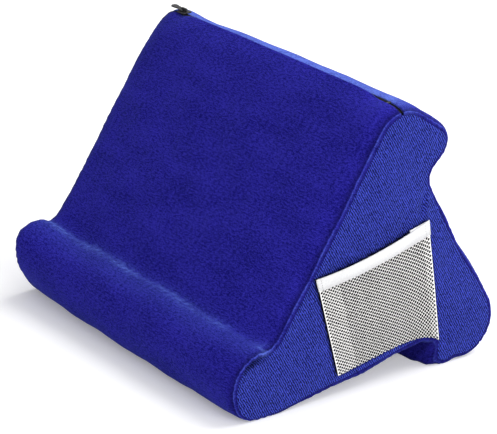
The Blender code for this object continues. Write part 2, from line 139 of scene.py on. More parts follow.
SIM_CROWDING = 0.28         # how much closer together its rows lie near the ends
SIM_INSET = 1.6 * MM        # the simulated body starts this much smaller
SIM_FRAMES = 20
SIM_PRESSURE = 4.0
HELD = 0.12                 # share of the swelling that the foam lets through
SWELL_CAP = 5.0 * MM        # the cover may swell by about this much
SINK_CAP = 0.6 * MM         # or draw in by this much
FOAM_INSET = 6.0 * MM       # the foam lies this much inside the cover's section
FOAM_SHORT = 9.0 * MM       # and ends this much before the cover does

# Relief of the wrap
SEAM_RIDGE = (0.3 * MM, 0.8 * MM, 0.6 * MM)     # height, distance from the end, half-width
SEAM_DITCH = (0.2 * MM, 2.7 * MM, 1.1 * MM)     # depth and the same two
GATHERS = (0.38 * MM, 6.5 * MM, 6 * MM)         # height, wavelength, how far in they reach
CRUMPLES = (1.0 * MM, 7.5 * MM, 24 * MM)        # the same for the foot of the heel
FOOT_REACH = 13 * MM
VALLEY_CREASE = (0.9 * MM, 2 * MM, 2.4 * MM)    # depth, distance before the valley, half-width
VALLEY_ROLL = (0.6 * MM, 9 * MM, 4.5 * MM)      # height and the same two
UNEVEN = ((0.35 * MM, 42 * MM, 11), (0.12 * MM, 14 * MM, 12))   # height, wavelength, seed

# Soft unevenness of other things: wavelength and seed
GATHER_SHIFT = (60 * MM, 3)
GATHER_STRENGTH = (45 * MM, 5)
CRUMPLE_SHIFT = (30 * MM, 6)
VALLEY_STRAYS = (120 * MM, 8)
SEAM_WEAR = (9 * MM, 31)
CREST_HIGHLIGHT_WAVES = (60 * MM, 33)
STREAK_HIGHLIGHT_WAVES = (4.5 * MM, 34)
ZIP_STRIP_HIGHLIGHT_WAVES = (12 * MM, 35)

# Where the plush shows pale: pressed pile along the end seams, and painted highlight along the lip's crest
# before the valley, in a wide glow before that and on the strip behind the zip; and painted shade in the end
# seam's ditch
WORN_SEAM = (0.6 * MM, 0.32 * MM)       # distance from the end, half-width
CREST_HIGHLIGHT = (5 * MM, 3.8 * MM)         # distance before the valley, half-width
GLOW_HIGHLIGHT = (11 * MM, 10 * MM)          # the same two for the wide painted glow before it
ZIP_STRIP_HIGHLIGHT_REACH = 15 * MM                 # how far the painted highlight reaches behind the zip
DITCH_SHADE = (0.7, 4.2 * MM)           # how deep the shade at the end seam is, and its reach

# The open crease where the lip's end is gathered, at a place of the section in millimetres
CREASE = (15, 48.2)
CREASE_REACH = 14 * MM
CREASE_WIDTH = 4.6 * MM
CREASE_UNDERCUT = 6.0 * MM  # how far the wrap's edge is drawn back over it

# The lip of cloth that stands up in front of the zip: rise, how far down the front it
# reaches, its middle across the width, its half-width, and how sharply it ends there
ZIP_LIP = (4.4 * MM, 6.5 * MM, -1.0 * MM, 116.0 * MM, 24)

# Profile of a knitted end at its seam, from the outside in: how far inside the seam, how
# that widens where the seam stands open, how far out of the end, and how much deeper. The
# first and third are in millimetres, the others are shares of the opening.
RING_PROFILE = (
    (0.2, 0.0, -2.6, 0.6), (0.3, 0.25, -0.9, 0.7), (0.9, 0.5, 0.1, 0.2), (1.8, 0.7, 0.4, 0.0),
    (3.2, 0.8, 0.2, 0.0),
)
END_CROWN = (0.2 * MM, 1.7 * MM, 14 * MM)   # height at the seam, rise to the middle, its reach
END_UNEVEN = (0.35 * MM, 30 * MM)           # height and wavelength
TIP_OPENING = (0.5 * MM, 16 * MM)           # how wide the seam opens at the overhang's tip, reach

# Folds of the knitted ends: from, to, half-width and rise, in millimetres on the section
FOLDS = (
    ((171, 142), (165, 116), 2.0, 2.0), ((167, 138), (160, 118), 2.4, -1.5),
    ((30, 46), (19, 38), 1.6, 1.1), ((27, 41), (18, 35), 1.8, -0.6),
    ((187, 14), (178, 26), 2.4, 1.0), ((182, 12), (172, 24), 2.2, -0.9),
    ((60, 66), (84, 52), 5.0, 0.5), ((70, 96), (98, 118), 6.0, 0.5), ((196, 70), (184, 40), 6.0, 0.5),
)

# Net pocket: corners as (y from the lip, z), as they show on the plane of the side
POCKET_TOP_FRONT = np.array([72.0, 92.5]) * MM
POCKET_TOP_BACK = np.array([169.0, 114.3]) * MM
POCKET_LOW_FRONT = np.array([91.5, 15.5]) * MM
POCKET_LOW_BACK = np.array([181.5, 20.0]) * MM
POCKET_WIDE = np.linalg.norm(POCKET_TOP_BACK - POCKET_TOP_FRONT)
POCKET_TALL = np.linalg.norm(POCKET_TOP_FRONT - POCKET_LOW_FRONT)
POCKET_SAG = 3.6 * MM
POCKET_RISE = 12.5 * MM
POCKET_BOW = 3.6 * MM
POCKET_LIFT = 1.1 * MM
POCKET_CLEAR = 0.7 * MM     # how far the net's edges keep off the panel
SHOWN_SHIFT = np.array([0.704, -0.479])     # how far a place shows off, for each unit it stands out
BINDING = 9.0 * MM          # how much of the tape shows below the mouth
BINDING_HALF = 0.75 * MM    # half the distance between its two layers
TAIL = (0.83, 0.985, 0.90, 1.030, 0.022)    # its end, in shares: from, to, low, high, fall to the back
STITCH = ((0.0, 0.25, 0.7, 1.15, 1.4), (-0.2, 0.1, 0.16, 0.1, -0.2))    # run and rise, in mm
STITCH_PITCH = 1.75 * MM
NET_STRANDS = 61            # strands side by side
NET_UP = 2.75 * MM          # height of one mesh at the front edge
NET_TILT = 0.12             # how far a row of meshes climbs to the back, as a share of the height
NET_STRAND = 0.48 * MM
NET_THICK = 0.12 * MM
NET_SWING = np.array([1.0, 1.0, 0.4, -0.4, -1.0, -1.0, -0.4, 0.4])  # a strand's way up one mesh
HEM_FRONT = 11              # strands that are folded double at the front edge
HEM_BACK = 4                # and at the back edge
HEM_GAP = 0.5 * MM
HEM_SLIP = 0.10             # share of a mesh by which the folded layer has slipped
SHADE_EDGE = 1.5 * MM       # width over which the shade behind the net fades

# Zip
TAPE_SHORT = 2 * MM         # how much shorter the tapes are than the cover, at either end
TAPE_PROFILE = ((0.45, 1.2, 2.2, 3.2, 6.0, 10.6),   # across a tape in mm: how far out
                (0.9, 1.0, 1.1, 1.5, 2.2, 2.8))     # and how deep under the cover's section
COIL_PITCH = 1.5 * MM
COIL_RADIUS = 0.28 * MM


# Section


def softened(values, length, reach):
    """Values round a closed curve, smoothed by a Gaussian applied to their Fourier series."""
    series = np.fft.rfft(values, axis=0)
    rate = 2 * math.pi * np.arange(len(series)) / length
    damping = np.exp(-0.5 * (rate * reach) ** 2)
    return np.fft.irfft(series * (damping[:, None] if values.ndim > 1 else damping), n=len(values), axis=0)


def belt():
    """Closed curve of the belt, evenly spaced, with its outward normals.

    The line between two pegs has the outward normal n with
    n . (centre 2 - centre 1) = radius 1 - radius 2. The arcs are joined by those lines,
    resampled evenly and softened.
    """
    facing = []
    for (y1, z1, r1), (y2, z2, r2) in zip(PEGS, PEGS[1:] + PEGS[:1]):
        across, up = y2 - y1, z2 - z1
        facing.append(math.atan2(up, across) + math.acos((r1 - r2) / math.hypot(across, up)))
    arcs = []
    for index, (y, z, radius) in enumerate(PEGS):
        sense = -1.0 if radius > 0 else 1.0
        turn = (sense * (facing[index] - facing[index - 1])) % (2 * math.pi)
        angles = facing[index - 1] + sense * np.linspace(0, turn, 2 + int(math.degrees(turn)))
        arcs.append(np.column_stack([y + radius * np.cos(angles), z + radius * np.sin(angles)]))
    closed = np.vstack([*arcs, arcs[0][:1]])
    run = np.concatenate([[0.0], np.cumsum(np.linalg.norm(np.diff(closed, axis=0), axis=1))])
    even = np.linspace(0, run[-1], int(round(run[-1] / BELT_STEP)), endpoint=False)
    curve = np.column_stack([np.interp(even, run, closed[:, axis]) for axis in (0, 1)])
    curve = softened(curve, run[-1], BELT_SOFTNESS)
    along = np.roll(curve, -1, axis=0) - np.roll(curve, 1, axis=0)
    along /= np.linalg.norm(along, axis=1)[:, None]
    return curve, np.column_stack([-along[:, 1], along[:, 0]])


BELT, BELT_NORMAL = belt()
BELT_LENGTH = len(BELT) * BELT_STEP


def read_belt(values, places):
    """Values given at every belt step, read at any places along it, round and round."""
    at = (places / BELT_STEP) % len(values)
    low = np.floor(at).astype(int) % len(values)
    part = at - np.floor(at)
    if values.ndim > 1:
        part = part[..., None]
    return values[low] * (1 - part) + values[(low + 1) % len(values)] * part


def over_belt(places, height):
    """Points of the section at places along the belt, raised over it along its normal."""
    return read_belt(BELT, places) + read_belt(BELT_NORMAL, places) * height[..., None]


def place_nearest(point):
    """Length along the belt of the place nearest to a point of the section, in millimetres."""
    return float(np.linalg.norm(BELT - np.array(point) * MM, axis=1).argmin()) * BELT_STEP


def along_belt(points, values, reach=6 * MM):
    """Values given at a few points of the section, drawn out along the whole belt."""
    at = [place_nearest(point) for point in points]
    drawn = np.interp(np.arange(len(BELT)) * BELT_STEP, at, values, period=BELT_LENGTH)
    return softened(drawn, BELT_LENGTH, reach)


ZIP_NORMAL = np.array([-math.sin(ZIP_LEAN), math.cos(ZIP_LEAN)])
ZIP_AT = float((BELT @ ZIP_NORMAL).argmax()) * BELT_STEP
FRONT_SEAM_AT = place_nearest(FRONT_SEAM)
HEEL_SEAM_AT = place_nearest(HEEL_SEAM)
VALLEY_AT = place_nearest((33.0, 51.5))
CREASE_AT = place_nearest(CREASE)
FOOT_AT = place_nearest((181, 10))
TIP_AT = place_nearest((187, 172))
SEAM_DEPTH = along_belt([row[0] for row in END_SEAM], [row[1] * MM for row in END_SEAM])
ROLL_WIDTH = along_belt([row[0] for row in END_SEAM], [row[2] * MM for row in END_SEAM])


def past(places, at):
    """How far along the belt one place lies past another, at most half a round either way."""
    return (places - at + BELT_LENGTH / 2) % BELT_LENGTH - BELT_LENGTH / 2


def bell(off, width):
    """1 at no distance, falling off as a bell of the given half-width."""
    return np.exp(-(off / width) ** 2)


def near(places, at, width):
    """A bell round one place along the belt."""
    return bell(past(places, at), width)


def fullness(across, places):
    """How much fuller than the section the stuffed cover stands."""
    total = np.zeros(np.broadcast(across, places).shape)
    for point, reach, centre, spread, rise in FULLNESS:
        beside = bell(across - centre * MM, spread * MM)
        total += rise * MM * beside * near(places, place_nearest(point), reach * MM)
    return total


def waves(across, along, wavelength, seed, count=9):
    """Soft unevenness: a sum of plane waves of random direction, near one wavelength."""
    draw = np.random.default_rng(seed)
    total = np.zeros(np.broadcast(across, along).shape)
    for _ in range(count):
        angle, phase = draw.uniform(0, 2 * math.pi, 2)
        pace = 2 * math.pi / (wavelength * draw.uniform(0.7, 1.5))
        total += np.cos(pace * (across * math.cos(angle) + along * math.sin(angle)) + phase)
    return total / math.sqrt(count)


# Meshes


def placed(name, data):
    """A new object of the scene."""
    made = bpy.data.objects.new(name, data)
    bpy.context.scene.collection.objects.link(made)
    return made


def mesh_object(name, points, face_sets, material, smooth=True):
    """An object from its points and from arrays of faces, each with one number of corners."""
    mesh = bpy.data.meshes.new(name)
    mesh.from_pydata(points.reshape(-1, 3).tolist(), [], sum([faces.tolist() for faces in face_sets], []))
    mesh.validate()
    if smooth:
        mesh.shade_smooth()
    mesh.materials.append(material)
    return placed(name, mesh)


def grid_faces(rows, columns, wrap=False, first=0):
    """Quads over a grid of points, joined round the columns if wrap is set."""
    index = first + np.arange(rows * columns).reshape(rows, columns)
    if wrap:
        index = np.concatenate([index, index[:, :1]], axis=1)
    return np.stack([index[:-1, :-1], index[1:, :-1], index[1:, 1:], index[:-1, 1:]], -1).reshape(-1, 4)


def mark(made, name, values):
    """Give each point of a piece a value that its material reads."""
    made.data.attributes.new(name, "FLOAT", "POINT").data.foreach_set("value", values.astype(np.float32))


def thicken(made, thickness, offset=-1.0):
    """Give a surface its thickness."""
    solid = made.modifiers.new("thickness", "SOLIDIFY")
    solid.thickness = thickness
    solid.offset = offset


def finish_piece(made, slot, *nodes):
    """Ride a piece on the cushion and hide the CAD nodes it stands for; its slot is not used."""
    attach(made, BODY)
    if nodes:
        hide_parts(*nodes)


def in_frame(across, section):
    """Points in the row frame from places across the width and points of the section."""
    return np.concatenate([(across + MIDDLE)[..., None], section[..., :1] + FRONT, section[..., 1:]], axis=-1)


def tubes(paths, radius, sides):
    """Tubes along many paths at once: paths is (tubes, points, 3), all of one length.

    The ring at each point lies in the plane across the path, spanned by the path's
    sideways direction and the cross product of the two.
    """
    count, steps = paths.shape[:2]
    along = np.gradient(paths, axis=1)
    along /= np.linalg.norm(along, axis=2)[..., None]
    side = np.cross(along, np.array([1.0, 0.0, 0.0]))
    length = np.linalg.norm(side, axis=2)[..., None]
    side = np.where(length > 1e-6, side / np.maximum(length, 1e-9), np.array([0.0, 1.0, 0.0]))
    over = np.cross(side, along)
    turns = 2 * math.pi * np.arange(sides) / sides
    ring = side[:, :, None] * np.cos(turns)[:, None] + over[:, :, None] * np.sin(turns)[:, None]
    points = paths[:, :, None] + radius * ring
    faces = [grid_faces(steps, sides, wrap=True, first=tube * steps * sides) for tube in range(count)]
    return points, np.concatenate(faces)[:, ::-1]


# Simulation


def lattice(outline, pitch):
    """Points of a square lattice inside an outline, not too near to it."""
    margin = LATTICE_MARGIN * pitch
    low, high = outline.min(0) + margin, outline.max(0) - margin
    y, z = np.meshgrid(np.arange(low[0], high[0], pitch), np.arange(low[1], high[1], pitch))
    spots = np.column_stack([y.ravel(), z.ravel()])
    inside = np.zeros(len(spots), dtype=bool)
    for first, second in zip(outline, np.roll(outline, -1, axis=0)):
        crosses = (first[1] > spots[:, 1]) != (second[1] > spots[:, 1])
        if crosses.any():
            slope = (second[0] - first[0]) / (second[1] - first[1])
            inside ^= crosses & (spots[:, 0] < first[0] + slope * (spots[:, 1] - first[1]))
    spots = spots[inside]
    return spots[edge_distance(spots, outline) > margin]


def edge_distance(spots, outline):
    """Distance of each point from the nearest point of a closed outline."""
    near_by = [np.linalg.norm(spots[:, None] - part[None], axis=2).min(axis=1)
               for part in np.array_split(outline, max(1, len(outline) // 100))]
    return np.min(near_by, axis=0)


def cap_faces(outline, spots):
    """Triangles over the inside of an outline and the spots in it."""
    corners = [Vector(p) for p in np.vstack([outline, spots]).tolist()]
    ring = [(k, (k + 1) % len(outline)) for k in range(len(outline))]
    found = geometry.delaunay_2d_cdt(corners, ring, [], 1, 1e-7)
    if len(found[0]) != len(corners):
        raise ValueError("the cap's outline crosses itself")
    return np.array(found[2])


SIM_PLACES = np.linspace(0, BELT_LENGTH, int(BELT_LENGTH / SIM_CELL), endpoint=False)
SIM_STATIONS = int(2 * HALF / SIM_CELL) + 1


def station(share):
    """Place across the width for a share from -1 to 1, closer together near the ends."""
    return HALF * ((1 - SIM_CROWDING) * share + SIM_CROWDING * np.sin(math.pi / 2 * share))


def end_drop(across, places):
    """How far the wrap has rounded down to the end seam: a quarter of an ellipse."""
    into = np.clip(1 - (HALF - np.abs(across)) / read_belt(ROLL_WIDTH, places), 0, 1)
    return read_belt(SEAM_DEPTH, places) * (1 - np.sqrt(1 - into ** 2))


def swollen_body():
    """Inflate the sewn-up cover and return how far its wrap and its two ends move.

    The wrap is a grid round the belt and each end a lattice, sewn into one closed cloth.
    """
    shares = np.linspace(-1, 1, SIM_STATIONS)
    across, places = np.meshgrid(station(shares), SIM_PLACES, indexing="ij")
    section = over_belt(places, -(SIM_INSET + end_drop(across, places)))
    wrap = in_frame(across, section)
    outline = section[0]
    spots = lattice(outline, SIM_CELL)
    caps = [in_frame(np.full(len(spots), side * HALF), spots) for side in (-1, 1)]
    start = np.concatenate([wrap.reshape(-1, 3), *caps])
    ring = len(SIM_PLACES)
    count = wrap.shape[0] * ring
    faces = grid_faces(wrap.shape[0], ring, wrap=True).tolist()
    triangles = cap_faces(outline, spots)
    for side, first in ((0, 0), (1, count - ring)):
        real = np.where(triangles < ring, triangles + first, triangles - ring + count + side * len(spots))
        faces += (real if side else real[:, ::-1]).tolist()
    end, outward = run_cloth(start, faces)
    moved = end - start
    swelling = (moved * outward).sum(axis=1)[:, None]
    sideways = HELD * (moved - swelling * outward)
    swelling = HELD * swelling
    cap = np.where(swelling > 0, SWELL_CAP, SINK_CAP)
    moved = cap * np.tanh(swelling / cap) * outward
    moved += sideways * SINK_CAP / (SINK_CAP + np.linalg.norm(sideways, axis=1)[:, None])
    wrap_moved = moved[:count].reshape(wrap.shape)
    ends = [moved[count + side * len(spots):count + (side + 1) * len(spots)] for side in (0, 1)]
    ring_moved = [wrap_moved[0], wrap_moved[-1]]
    return wrap_moved, np.vstack([outline, spots]), [np.vstack(pair) for pair in zip(ring_moved, ends)]


def run_cloth(start, faces):
    """Blow the closed cloth up for a few frames, with no gravity, and read where it ends."""
    mesh = bpy.data.meshes.new("swelling")
    mesh.from_pydata(start.tolist(), [], faces)
    made = placed("swelling", mesh)
    cloth = made.modifiers.new("cloth", "CLOTH")
    cloth.settings.use_pressure = True
    cloth.settings.uniform_pressure_force = SIM_PRESSURE
    cloth.settings.effector_weights.gravity = 0.0
    cloth.settings.quality = 5
    cloth.settings.mass = 0.3
    cloth.point_cache.frame_start = 1
    cloth.point_cache.frame_end = SIM_FRAMES
    for number in range(1, SIM_FRAMES + 1):
        bpy.context.scene.frame_set(number)
    result = made.evaluated_get(bpy.context.evaluated_depsgraph_get())
    places = np.empty(len(start) * 3, dtype=np.float32)
    result.data.vertices.foreach_get("co", places)
    outward = np.empty(len(start) * 3, dtype=np.float32)
    mesh.vertices.foreach_get("normal", outward)
    bpy.data.objects.remove(made, do_unlink=True)
    bpy.data.meshes.remove(mesh)
    bpy.context.scene.frame_set(1)
    return places.reshape(-1, 3).astype(float), outward.reshape(-1, 3).astype(float)


def spline_weights(at, count, wrap):
    """Weights of a cubic B-spline at fractional places among evenly spaced values."""
    low = np.floor(at).astype(int)
    t = at - low
    basis = ((1 - t) ** 3 / 6, (3 * t ** 3 - 6 * t ** 2 + 4) / 6,
             (-3 * t ** 3 + 3 * t ** 2 + 3 * t + 1) / 6, t ** 3 / 6)
    table = np.zeros((len(at), count))
    for shift, weight in zip((-1, 0, 1, 2), basis):
        index = (low + shift) % count if wrap else np.clip(low + shift, 0, count - 1)
        np.add.at(table, (np.arange(len(at)), index), weight)
    return table


# Cover


def wrap_height(across, places):
    """Relief of the wrap over the belt: rounded ends, seam ridge, gathers and soft unevenness."""
    edge = HALF - np.abs(across)
    level = across * 0
    height = fullness(across, places) - end_drop(across, places)
    for sense, (rise, inside, width) in ((1, SEAM_RIDGE), (-1, SEAM_DITCH)):
        height += sense * rise * bell(edge - inside, width)
    height += zip_lip(across, places)
    rise, length, reach = GATHERS
    gather = np.sin(2 * math.pi * places / length + 2.2 * waves(level, places, *GATHER_SHIFT))
    strength = 0.5 + 0.5 * waves(level, places, *GATHER_STRENGTH) + near(places, CREASE_AT, 25 * MM)
    height += rise * gather * np.clip(strength, 0, 1.6) * np.exp(-edge / reach)
    rise, length, reach = CRUMPLES
    crumple = np.sin(2 * math.pi * (places + 0.5 * edge) / length + waves(across, places, *CRUMPLE_SHIFT))
    height += rise * crumple * near(places, FOOT_AT, FOOT_REACH) * np.exp(-edge / reach)
    wander = valley_wander(across)
    depth, before, width = VALLEY_CREASE
    height -= depth * near(places, VALLEY_AT - before + wander, width) * np.exp(-(across / HALF) ** 6)
    rise, before, width = VALLEY_ROLL
    height += rise * near(places, VALLEY_AT - before + wander, width)
    calm = 1 - 0.7 * near(places, ZIP_AT, 40 * MM)
    return height + calm * sum(rise * waves(across, places, length, seed) for rise, length, seed in UNEVEN)


def zip_lip(across, places):
    """Height of the lip of cloth in front of the zip: it climbs to its edge and ends there."""
    rise, reach, middle, half, sharpness = ZIP_LIP
    before = past(ZIP_AT, places)
    climb = np.exp(-np.clip(before, 0, None) / reach) * (before > 0)
    return rise * climb * np.exp(-((across - middle) / half) ** sharpness)


def valley_wander(across):
    """How far the crease of the valley strays along the belt."""
    return 2.0 * MM * waves(across, across * 0, *VALLEY_STRAYS)


def seam_wear_and_painted_highlight(across, places):
    """1 where the plush shows pale: a line of pressed pile along the end seams, and painted
    highlight down the valley's crest and on the strip behind the zip that faces up."""
    inside, width = WORN_SEAM
    seam = bell(HALF - np.abs(across) - inside, width)
    seam *= np.clip(0.6 + 0.25 * waves(across * 0, places, *SEAM_WEAR), 0, 1)
    # Painted highlight: the strip behind the zip, which faces up into the overhead light, is made pale.
    behind = past(places, ZIP_AT)
    zip_strip_highlight = np.clip(behind / MM, 0, 1) * np.exp(-(np.clip(behind, 0, None) / ZIP_STRIP_HIGHLIGHT_REACH) ** 4)
    zip_strip_highlight *= np.clip(0.85 + 0.2 * waves(across, places, *ZIP_STRIP_HIGHLIGHT_WAVES), 0, 1)
    zip_strip_highlight *= np.clip((HALF - 3 * MM - across) / (18 * MM), 0.25, 1)
    # Painted highlight along the lip's up-facing crest before the valley, fading to the right, and a wide weak
    # painted glow before it.
    crest, glow = (near(places, VALLEY_AT - before + valley_wander(across), width)
                   for before, width in (CREST_HIGHLIGHT, GLOW_HIGHLIGHT))
    crest *= np.clip(0.68 + 0.4 * waves(across, places * 0, *CREST_HIGHLIGHT_WAVES) - 0.5 * across / HALF, 0, 1)
    streaks = np.clip(0.55 + 0.6 * waves(across * 0.6, places, *STREAK_HIGHLIGHT_WAVES), 0, 1)
    return np.clip(0.4 * seam + crest * streaks + 0.1 * glow + zip_strip_highlight, 0, 1)


def swell_at(across, places, swell):
    """The simulated swelling read on a grid, by cubic B-splines each way."""
    stations = station(np.linspace(-1, 1, SIM_STATIONS))
    rows = spline_weights(np.interp(across, stations, np.arange(SIM_STATIONS)), SIM_STATIONS, False)
    columns = spline_weights(places / BELT_LENGTH * len(SIM_PLACES), len(SIM_PLACES), True)
    return np.einsum("ai,ijk,bj->abk", rows, swell, columns, optimize=True)


def on_floor(points):
    """Points kept just above the floor."""
    points[..., 2] = np.maximum(points[..., 2], FLOOR_GAP)
    return points


def wrap_panel(name, start, end, node, swell, shade, material):
    """One panel of the wrap, from one seam to the next, with its edges turned in.

    The grid runs over the width and along the belt. Its outermost rows and columns keep
    their place and drop below the surface, which makes the turned-in seam allowance.
    """
    middle = np.linspace(start + SEAM_MARGIN, end - SEAM_MARGIN, int((end - start) / CELL))
    places = np.concatenate([start + SEAM_ROWS, middle, end - SEAM_ROWS[::-1]])
    sink_along = np.zeros(len(places))
    sink_along[:3], sink_along[-3:] = SEAM_SINK, SEAM_SINK[::-1]
    middle = np.linspace(-HALF + END_MARGIN, HALF - END_MARGIN, int(2 * HALF / CELL))
    across = np.concatenate([[-HALF], END_ROWS - HALF, middle, HALF - END_ROWS[::-1], [HALF]])
    sink_across = np.zeros(len(across))
    sink_across[:2], sink_across[-2:] = END_SINK, END_SINK[::-1]
    rows, columns = np.meshgrid(across, places, indexing="ij")
    height = wrap_height(rows, columns) - np.maximum(sink_across[:, None], sink_along[None, :])
    section = over_belt(columns, height)
    hidden = (sink_across / TUCK)[:, None] * near(columns, CREASE_AT, CREASE_REACH)
    drawn_back = rows - np.sign(rows) * CREASE_UNDERCUT * hidden
    points = on_floor(in_frame(drawn_back, section) + swell_at(across, places, swell))
    made = mesh_object(name, points, [grid_faces(*rows.shape)], material)
    laid_out = rows + np.sign(rows) * (end_drop(rows, columns) + sink_across[:, None])
    laid_out = np.column_stack([laid_out.ravel(), columns.ravel()])
    corner = np.empty(len(made.data.loops), dtype=np.int32)
    made.data.loops.foreach_get("vertex_index", corner)
    uv = made.data.uv_layers.new(name="cloth")
    uv.data.foreach_set("uv", laid_out[corner].ravel().astype(np.float32))
    edge = HALF - np.abs(rows)
    deep, reach = DITCH_SHADE
    in_ditch = deep * bell(edge, reach) * (1 - bell(edge - WORN_SEAM[0], 0.4 * MM))
    # The pale mark: pressed pile along the end seams and painted highlights; the shade mark: painted shade in
    # the seam's ditch and, on the base, all over.
    mark(made, "wear_and_highlight", seam_wear_and_painted_highlight(rows, columns).ravel())
    mark(made, "shaded", np.maximum(in_ditch, shade).ravel())
    thicken(made, CLOTH)
    finish_piece(made, "plush", node)


def foam_core(material):
    """The foam that fills the cover: the section drawn out, a little smaller all round."""
    outline = (BELT - BELT_NORMAL * FOAM_INSET)[::8]
    across = np.linspace(-HALF + FOAM_SHORT, HALF - FOAM_SHORT, 12)
    rows, columns = np.meshgrid(across, np.arange(len(outline)), indexing="ij")
    points = in_frame(rows, outline[columns])
    left = cap_faces(outline, np.empty((0, 2)))
    right = left + rows.size - len(outline)
    faces = [grid_faces(*rows.shape, wrap=True), left[:, ::-1], right]
    made = mesh_object("foam_filling", points, faces, material, smooth=False)
    finish_piece(made, "foam", "foam_core")


def fold(spots, start, end, width, rise):
    """A soft fold of the cloth along a line from one point to another."""
    start, end = np.array(start) * MM, np.array(end) * MM
    line = end - start
    share = np.clip((spots - start) @ line / (line @ line), 0, 1)
    away = np.linalg.norm(spots - start - share[:, None] * line, axis=1)
    return rise * MM * bell(away, width * MM) * np.sin(math.pi * np.clip(share, 0.02, 0.98)) ** 0.5


def end_rings(side):
    """Rings of a knitted end from its seam inward, with how far each stands out."""
    places = np.linspace(0, BELT_LENGTH, int(BELT_LENGTH / CELL), endpoint=False)
    full = fullness(side * HALF, places) - read_belt(SEAM_DEPTH, places)
    tip_width, tip_reach = TIP_OPENING
    open_by = CREASE_WIDTH * near(places, CREASE_AT, CREASE_REACH) + tip_width * near(places, TIP_AT, tip_reach)
    rings, heights = [], []
    for inside, spread, height, deeper in RING_PROFILE:
        rings.append(over_belt(places, full - (inside * MM + spread * open_by)))
        heights.append(height * MM - deeper * open_by)
    return rings, heights


def side_panel(name, side, node, sim_spots, sim_moved, material):
    """A knitted end: a lattice with a crowned middle, its edge turned in at the seam.

    It returns the places of its points on the section and how far each stands out.
    """
    rings, heights = end_rings(side)
    inner = rings[-1]
    ring = len(inner)
    spots = lattice(inner, CELL)
    flat = np.vstack([*rings, spots])
    deep = edge_distance(spots, inner)
    low, rise, reach = END_CROWN
    height = np.concatenate([*heights, low + rise * (1 - np.exp(-deep / reach))])
    soft = np.concatenate([np.zeros(ring * len(rings)), np.clip(deep / (3 * MM), 0, 1)])
    rise, length = END_UNEVEN
    height += soft * rise * waves(flat[:, 0], flat[:, 1], length, 21 + side)
    for start, end, width, rise in FOLDS:
        height += soft * fold(flat, start, end, width, rise)
    points = in_frame(side * (HALF + height), flat)
    weight = bell(np.linalg.norm(flat[:, None] - sim_spots[None], axis=2), SIM_CELL)
    points = on_floor(points + weight @ sim_moved / weight.sum(axis=1)[:, None])
    faces = [grid_faces(len(rings), ring, wrap=True), cap_faces(inner, spots) + (len(rings) - 1) * ring]
    made = mesh_object(name, points, [part[:, ::side] for part in faces], material)
    out = side * (points[:, 0] - MIDDLE) - HALF
    mark(made, "shaded", end_shade(flat, out, side, ring))
    thicken(made, CLOTH)
    finish_piece(made, "knit", node)
    return flat, out


def end_shade(flat, out, side, ring):
    """1 where a knitted end lies in shade: behind the net, and down in the open crease."""
    seen_at = flat + out[:, None] * SHOWN_SHIFT
    shade = np.maximum(inside_pocket(seen_at), inside_pocket(seen_at + 3 * MM * SHOWN_SHIFT)) * (side > 0)
    gaping = near(np.linspace(0, BELT_LENGTH, ring, endpoint=False), CREASE_AT, CREASE_REACH)
    in_crease = np.tile(0.6 * np.clip(1.3 * gaping - 0.2, 0, 1), 3)
    shade[:3 * ring] = np.maximum(shade[:3 * ring], in_crease)
    return shade


# Pocket


def pocket_shown(across, up):
    """Where a share across and up the pocket shows on the plane of the side."""
    low = (1 - across)[..., None] * POCKET_LOW_FRONT + across[..., None] * POCKET_LOW_BACK
    top = (1 - across)[..., None] * POCKET_TOP_FRONT + across[..., None] * POCKET_TOP_BACK
    low[..., 1] += POCKET_RISE * across * (1 - across ** 5)
    top[..., 1] -= POCKET_SAG * 4 * across * (1 - across)
    return low * (1 - up)[..., None] + top * up[..., None]


def inside_pocket(flat):
    """1 where a place of the side lies behind the net, falling to 0 over a narrow edge.

    The shares across and up are found in turn, each from the other, starting in the middle.
    """
    across = np.full(len(flat), 0.5)
    zero, one = np.zeros(len(flat)), np.ones(len(flat))
    for _ in range(6):
        low, top = pocket_shown(across, zero)[:, 1], pocket_shown(across, one)[:, 1]
        up = np.clip((flat[:, 1] - low) / (top - low), -0.2, 1.2)
        left, right = pocket_shown(zero, up)[:, 0], pocket_shown(one, up)[:, 0]
        across = np.clip((flat[:, 0] - left) / (right - left), -0.2, 1.2)
    inward = np.minimum(np.minimum(across, 1 - across) * POCKET_WIDE, np.minimum(up, 1 - up) * POCKET_TALL)
    return np.clip(0.8 + inward / SHADE_EDGE, 0, 1)


def read_ground(ground, across, up):
    """The panel's height at any share across and up the pocket: a blend of four neighbours."""
    last = len(ground) - 1
    right, high = np.clip(across, 0, 1) * last, np.clip(up, 0, 1) * last
    column, row = np.minimum(right.astype(int), last - 1), np.minimum(high.astype(int), last - 1)
    right, high = right - column, high - row
    low = ground[row, column] * (1 - right) + ground[row, column + 1] * right
    top = ground[row + 1, column] * (1 - right) + ground[row + 1, column + 1] * right
    return low * (1 - high) + top * high


def pocket_places(across, up, ground, lift):
    """Points of the pocket that stand off the panel, shifted so that they show in place.

    The ground is the panel's own height under a coarse grid of the pocket.
    """
    under = read_ground(ground, across, up)
    bow = POCKET_BOW * (1 - np.abs(2 * np.clip(across, 0, 1) - 1) ** 3)
    out = under + POCKET_CLEAR + (POCKET_LIFT + bow) * (1 - (1 - np.clip(up, 0, 1)) ** 2.5) + lift
    section = pocket_shown(across, up) - out[..., None] * SHOWN_SHIFT
    return in_frame(HALF + out, section)


def pocket_ground(flat, height, count=40):
    """The panel's height under a square grid over the pocket, by a bell-weighted mean."""
    share = np.linspace(0, 1, count)
    across, up = np.meshgrid(share, share)
    spots = pocket_shown(across, up).reshape(-1, 2)
    weight = bell(np.linalg.norm(spots[:, None] - flat[None], axis=2), 2.5 * MM)
    return (weight @ height / weight.sum(axis=1)).reshape(count, count)


